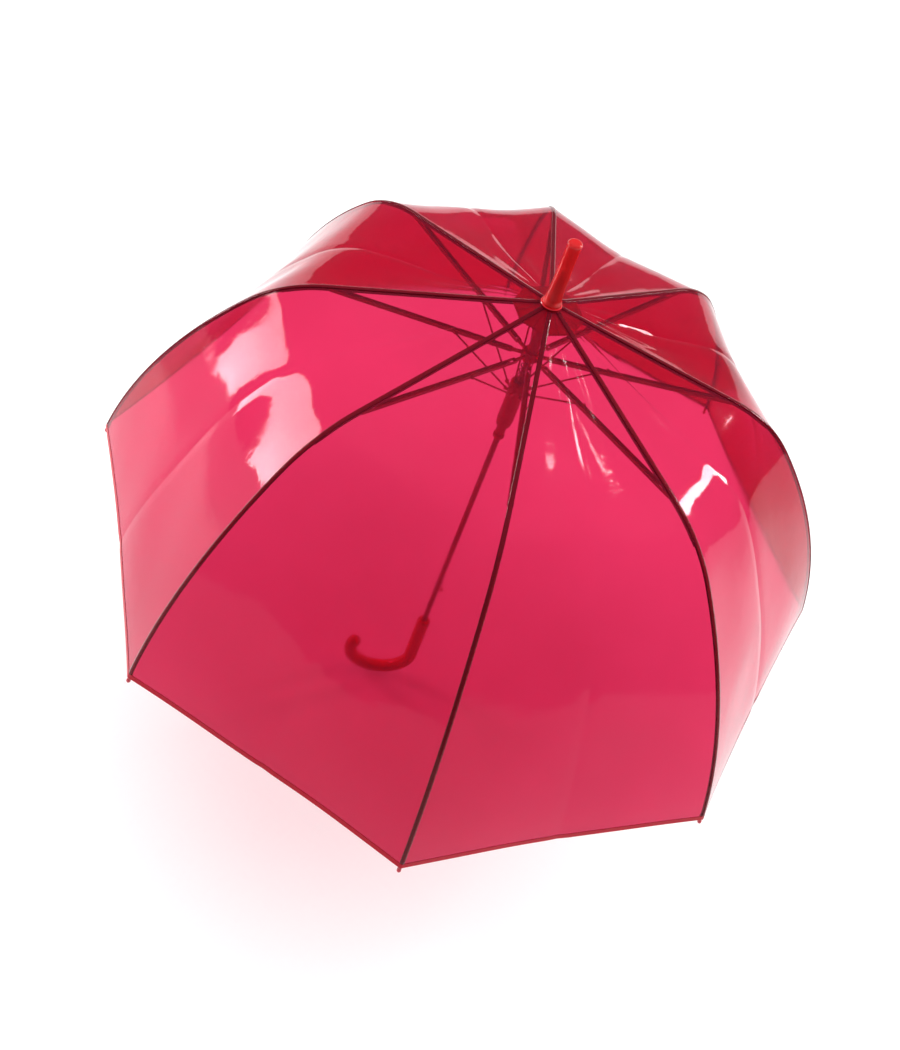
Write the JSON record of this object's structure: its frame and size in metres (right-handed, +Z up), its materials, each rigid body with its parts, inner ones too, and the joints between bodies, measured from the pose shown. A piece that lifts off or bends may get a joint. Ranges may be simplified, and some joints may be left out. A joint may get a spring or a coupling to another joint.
{
  "type": "clear bubble umbrella",
  "caption": "Deep see-through dome umbrella, shown open, with folding ribs, a sprung runner, a release button and a crook handle.",
  "frame": {"origin": "middle of the straight part of the grip, on the shaft's axis", "axes": "+Z up the shaft towards the ferrule; the crook's hook points towards -X"},
  "size_m": [1.0106, 1.0106, 0.9385],
  "materials": {
    "film": "tinted see-through film, gloss",
    "red_plastic": "gloss",
    "clear_red_plastic": "translucent, gloss",
    "dark_red_plastic": "gloss",
    "frame_paint": "gloss paint",
    "shaft_paint": "gloss paint",
    "glass_fibre": "satin",
    "spring_steel": "satin",
    "wire": "satin"
  },
  "bodies": {
    "stick": {"shaft": "shaft_paint", "handle": "red_plastic", "ferrule": "clear_red_plastic", "top_washer": "red_plastic", "rosette": "film", "crown": "dark_red_plastic", "crown_wire": "wire"},
    "runner": {"runner": "dark_red_plastic", "spring": "spring_steel"},
    "collar": {"collar": "dark_red_plastic"},
    "release": {"release_button": "red_plastic", "catch": "spring_steel"},
    "rib_1": {"rib_1": "frame_paint", "canopy_top_1": "film"},
    "rod_1": {"rod_1": "glass_fibre", "canopy_side_1": "film"},
    "stretcher_1": {"stretcher_1": "frame_paint"},
    "brace_1": {"brace_1": "frame_paint"},
    "rib_2": {"rib_2": "frame_paint", "canopy_top_2": "film"},
    "rod_2": {"rod_2": "glass_fibre", "canopy_side_2": "film"},
    "stretcher_2": {"stretcher_2": "frame_paint"},
    "brace_2": {"brace_2": "frame_paint"},
    "rib_3": {"rib_3": "frame_paint", "canopy_top_3": "film"},
    "rod_3": {"rod_3": "glass_fibre", "canopy_side_3": "film"},
    "stretcher_3": {"stretcher_3": "frame_paint"},
    "brace_3": {"brace_3": "frame_paint"},
    "rib_4": {"rib_4": "frame_paint", "canopy_top_4": "film"},
    "rod_4": {"rod_4": "glass_fibre", "canopy_side_4": "film"},
    "stretcher_4": {"stretcher_4": "frame_paint"},
    "brace_4": {"brace_4": "frame_paint"},
    "rib_5": {"rib_5": "frame_paint", "canopy_top_5": "film"},
    "rod_5": {"rod_5": "glass_fibre", "canopy_side_5": "film"},
    "stretcher_5": {"stretcher_5": "frame_paint"},
    "brace_5": {"brace_5": "frame_paint"},
    "rib_6": {"rib_6": "frame_paint", "canopy_top_6": "film"},
    "rod_6": {"rod_6": "glass_fibre", "canopy_side_6": "film"},
    "stretcher_6": {"stretcher_6": "frame_paint"},
    "brace_6": {"brace_6": "frame_paint"},
    "rib_7": {"rib_7": "frame_paint", "canopy_top_7": "film"},
    "rod_7": {"rod_7": "glass_fibre", "canopy_side_7": "film"},
    "stretcher_7": {"stretcher_7": "frame_paint"},
    "brace_7": {"brace_7": "frame_paint"},
    "rib_8": {"rib_8": "frame_paint", "canopy_top_8": "film"},
    "rod_8": {"rod_8": "glass_fibre", "canopy_side_8": "film"},
    "stretcher_8": {"stretcher_8": "frame_paint"},
    "brace_8": {"brace_8": "frame_paint"}
  },
  "joints": [
    {"name": "runner_slide", "type": "slide", "parent": "stick", "child": "runner", "axis": [0, 0, 1], "range_m": [-0.3514, 0], "stiffness_N_per_m": 55, "springref_m": 0.3, "deforming": ["spring"]},
    {"name": "collar_slide", "type": "slide", "parent": "stick", "child": "collar", "axis": [0, 0, 1], "range_m": [-0.37903, 0]},
    {"name": "release_press", "type": "slide", "parent": "stick", "child": "release", "axis": [-1, 0, 0], "range_m": [0, 0.002], "stiffness_N_per_m": 500, "springref_m": -0.002},
    {"name": "rib_1_fold", "type": "hinge", "parent": "stick", "child": "rib_1", "pos_m": [-0.00893, 0.0011, 0.7335], "axis": [-0.1219, -0.9925, 0], "range_deg": [0, 65.01], "deforming": ["canopy_top_1"]},
    {"name": "rod_1_flex", "type": "hinge", "parent": "rib_1", "child": "rod_1", "pos_m": [-0.29349, 0.03604, 0.6493], "axis": [-0.1219, -0.9925, 0], "range_deg": [-29.01, 0], "deforming": ["canopy_side_1"]},
    {"name": "stretcher_1_swing", "type": "hinge", "parent": "rib_1", "child": "stretcher_1", "pos_m": [-0.24094, 0.02958, 0.67087], "axis": [-0.1219, -0.9925, 0], "range_deg": [-144.65, 0]},
    {"name": "brace_1_swing", "type": "hinge", "parent": "stretcher_1", "child": "brace_1", "pos_m": [-0.09272, 0.00695, 0.66167], "axis": [-0.1219, -0.9925, 0], "range_deg": [0, 38.72]},
    {"name": "rib_2_fold", "type": "hinge", "parent": "stick", "child": "rib_2", "pos_m": [-0.00709, -0.00554, 0.7335], "axis": [0.6157, -0.788, 0], "range_deg": [0, 65.01], "deforming": ["canopy_top_2"]},
    {"name": "rod_2_flex", "type": "hinge", "parent": "rib_2", "child": "rod_2", "pos_m": [-0.23301, -0.18205, 0.6493], "axis": [0.6157, -0.788, 0], "range_deg": [-29.01, 0], "deforming": ["canopy_side_2"]},
    {"name": "stretcher_2_swing", "type": "hinge", "parent": "rib_2", "child": "stretcher_2", "pos_m": [-0.19129, -0.14945, 0.67087], "axis": [0.6157, -0.788, 0], "range_deg": [-144.65, 0]},
    {"name": "brace_2_swing", "type": "hinge", "parent": "stretcher_2", "child": "brace_2", "pos_m": [-0.07047, -0.06064, 0.66167], "axis": [0.6157, -0.788, 0], "range_deg": [0, 38.72]},
    {"name": "rib_3_fold", "type": "hinge", "parent": "stick", "child": "rib_3", "pos_m": [-0.0011, -0.00893, 0.7335], "axis": [0.9925, -0.1219, 0], "range_deg": [0, 65.01], "deforming": ["canopy_top_3"]},
    {"name": "rod_3_flex", "type": "hinge", "parent": "rib_3", "child": "rod_3", "pos_m": [-0.03604, -0.29349, 0.6493], "axis": [0.9925, -0.1219, 0], "range_deg": [-29.01, 0], "deforming": ["canopy_side_3"]},
    {"name": "stretcher_3_swing", "type": "hinge", "parent": "rib_3", "child": "stretcher_3", "pos_m": [-0.02958, -0.24094, 0.67087], "axis": [0.9925, -0.1219, 0], "range_deg": [-144.65, 0]},
    {"name": "brace_3_swing", "type": "hinge", "parent": "stretcher_3", "child": "brace_3", "pos_m": [-0.00695, -0.09272, 0.66167], "axis": [0.9925, -0.1219, 0], "range_deg": [0, 38.72]},
    {"name": "rib_4_fold", "type": "hinge", "parent": "stick", "child": "rib_4", "pos_m": [0.00554, -0.00709, 0.7335], "axis": [0.788, 0.6157, 0], "range_deg": [0, 65.01], "deforming": ["canopy_top_4"]},
    {"name": "rod_4_flex", "type": "hinge", "parent": "rib_4", "child": "rod_4", "pos_m": [0.18205, -0.23301, 0.6493], "axis": [0.788, 0.6157, 0], "range_deg": [-29.01, 0], "deforming": ["canopy_side_4"]},
    {"name": "stretcher_4_swing", "type": "hinge", "parent": "rib_4", "child": "stretcher_4", "pos_m": [0.14945, -0.19129, 0.67087], "axis": [0.788, 0.6157, 0], "range_deg": [-144.65, 0]},
    {"name": "brace_4_swing", "type": "hinge", "parent": "stretcher_4", "child": "brace_4", "pos_m": [0.06064, -0.07047, 0.66167], "axis": [0.788, 0.6157, 0], "range_deg": [0, 38.72]},
    {"name": "rib_5_fold", "type": "hinge", "parent": "stick", "child": "rib_5", "pos_m": [0.00893, -0.0011, 0.7335], "axis": [0.1219, 0.9925, 0], "range_deg": [0, 65.01], "deforming": ["canopy_top_5"]},
    {"name": "rod_5_flex", "type": "hinge", "parent": "rib_5", "child": "rod_5", "pos_m": [0.29349, -0.03604, 0.6493], "axis": [0.1219, 0.9925, 0], "range_deg": [-29.01, 0], "deforming": ["canopy_side_5"]},
    {"name": "stretcher_5_swing", "type": "hinge", "parent": "rib_5", "child": "stretcher_5", "pos_m": [0.24094, -0.02958, 0.67087], "axis": [0.1219, 0.9925, 0], "range_deg": [-144.65, 0]},
    {"name": "brace_5_swing", "type": "hinge", "parent": "stretcher_5", "child": "brace_5", "pos_m": [0.09272, -0.00695, 0.66167], "axis": [0.1219, 0.9925, 0], "range_deg": [0, 38.72]},
    {"name": "rib_6_fold", "type": "hinge", "parent": "stick", "child": "rib_6", "pos_m": [0.00709, 0.00554, 0.7335], "axis": [-0.6157, 0.788, 0], "range_deg": [0, 65.01], "deforming": ["canopy_top_6"]},
    {"name": "rod_6_flex", "type": "hinge", "parent": "rib_6", "child": "rod_6", "pos_m": [0.23301, 0.18205, 0.6493], "axis": [-0.6157, 0.788, 0], "range_deg": [-29.01, 0], "deforming": ["canopy_side_6"]},
    {"name": "stretcher_6_swing", "type": "hinge", "parent": "rib_6", "child": "stretcher_6", "pos_m": [0.19129, 0.14945, 0.67087], "axis": [-0.6157, 0.788, 0], "range_deg": [-144.65, 0]},
    {"name": "brace_6_swing", "type": "hinge", "parent": "stretcher_6", "child": "brace_6", "pos_m": [0.07047, 0.06064, 0.66167], "axis": [-0.6157, 0.788, 0], "range_deg": [0, 38.72]},
    {"name": "rib_7_fold", "type": "hinge", "parent": "stick", "child": "rib_7", "pos_m": [0.0011, 0.00893, 0.7335], "axis": [-0.9925, 0.1219, 0], "range_deg": [0, 65.01], "deforming": ["canopy_top_7"]},
    {"name": "rod_7_flex", "type": "hinge", "parent": "rib_7", "child": "rod_7", "pos_m": [0.03604, 0.29349, 0.6493], "axis": [-0.9925, 0.1219, 0], "range_deg": [-29.01, 0], "deforming": ["canopy_side_7"]},
    {"name": "stretcher_7_swing", "type": "hinge", "parent": "rib_7", "child": "stretcher_7", "pos_m": [0.02958, 0.24094, 0.67087], "axis": [-0.9925, 0.1219, 0], "range_deg": [-144.65, 0]},
    {"name": "brace_7_swing", "type": "hinge", "parent": "stretcher_7", "child": "brace_7", "pos_m": [0.00695, 0.09272, 0.66167], "axis": [-0.9925, 0.1219, 0], "range_deg": [0, 38.72]},
    {"name": "rib_8_fold", "type": "hinge", "parent": "stick", "child": "rib_8", "pos_m": [-0.00554, 0.00709, 0.7335], "axis": [-0.788, -0.6157, 0], "range_deg": [0, 65.01], "deforming": ["canopy_top_8"]},
    {"name": "rod_8_flex", "type": "hinge", "parent": "rib_8", "child": "rod_8", "pos_m": [-0.18205, 0.23301, 0.6493], "axis": [-0.788, -0.6157, 0], "range_deg": [-29.01, 0], "deforming": ["canopy_side_8"]},
    {"name": "stretcher_8_swing", "type": "hinge", "parent": "rib_8", "child": "stretcher_8", "pos_m": [-0.14945, 0.19129, 0.67087], "axis": [-0.788, -0.6157, 0], "range_deg": [-144.65, 0]},
    {"name": "brace_8_swing", "type": "hinge", "parent": "stretcher_8", "child": "brace_8", "pos_m": [-0.06064, 0.07047, 0.66167], "axis": [-0.788, -0.6157, 0], "range_deg": [0, 38.72]}
  ],
  "couplings": [
    {"joint": "collar_slide", "follows": "runner_slide", "ratio": 1.0783},
    {"joint": "rib_1_fold", "follows": "runner_slide", "rad_per_m": -3.2284},
    {"joint": "rod_1_flex", "follows": "runner_slide", "rad_per_m": 1.4404},
    {"joint": "stretcher_1_swing", "follows": "runner_slide", "rad_per_m": 7.1838},
    {"joint": "brace_1_swing", "follows": "runner_slide", "rad_per_m": -1.9226},
    {"joint": "rib_2_fold", "follows": "runner_slide", "rad_per_m": -3.2284},
    {"joint": "rod_2_flex", "follows": "runner_slide", "rad_per_m": 1.4404},
    {"joint": "stretcher_2_swing", "follows": "runner_slide", "rad_per_m": 7.1838},
    {"joint": "brace_2_swing", "follows": "runner_slide", "rad_per_m": -1.9226},
    {"joint": "rib_3_fold", "follows": "runner_slide", "rad_per_m": -3.2284},
    {"joint": "rod_3_flex", "follows": "runner_slide", "rad_per_m": 1.4404},
    {"joint": "stretcher_3_swing", "follows": "runner_slide", "rad_per_m": 7.1838},
    {"joint": "brace_3_swing", "follows": "runner_slide", "rad_per_m": -1.9226},
    {"joint": "rib_4_fold", "follows": "runner_slide", "rad_per_m": -3.2284},
    {"joint": "rod_4_flex", "follows": "runner_slide", "rad_per_m": 1.4404},
    {"joint": "stretcher_4_swing", "follows": "runner_slide", "rad_per_m": 7.1838},
    {"joint": "brace_4_swing", "follows": "runner_slide", "rad_per_m": -1.9226},
    {"joint": "rib_5_fold", "follows": "runner_slide", "rad_per_m": -3.2284},
    {"joint": "rod_5_flex", "follows": "runner_slide", "rad_per_m": 1.4404},
    {"joint": "stretcher_5_swing", "follows": "runner_slide", "rad_per_m": 7.1838},
    {"joint": "brace_5_swing", "follows": "runner_slide", "rad_per_m": -1.9226},
    {"joint": "rib_6_fold", "follows": "runner_slide", "rad_per_m": -3.2284},
    {"joint": "rod_6_flex", "follows": "runner_slide", "rad_per_m": 1.4404},
    {"joint": "stretcher_6_swing", "follows": "runner_slide", "rad_per_m": 7.1838},
    {"joint": "brace_6_swing", "follows": "runner_slide", "rad_per_m": -1.9226},
    {"joint": "rib_7_fold", "follows": "runner_slide", "rad_per_m": -3.2284},
    {"joint": "rod_7_flex", "follows": "runner_slide", "rad_per_m": 1.4404},
    {"joint": "stretcher_7_swing", "follows": "runner_slide", "rad_per_m": 7.1838},
    {"joint": "brace_7_swing", "follows": "runner_slide", "rad_per_m": -1.9226},
    {"joint": "rib_8_fold", "follows": "runner_slide", "rad_per_m": -3.2284},
    {"joint": "rod_8_flex", "follows": "runner_slide", "rad_per_m": 1.4404},
    {"joint": "stretcher_8_swing", "follows": "runner_slide", "rad_per_m": 7.1838},
    {"joint": "brace_8_swing", "follows": "runner_slide", "rad_per_m": -1.9226}
  ]
}
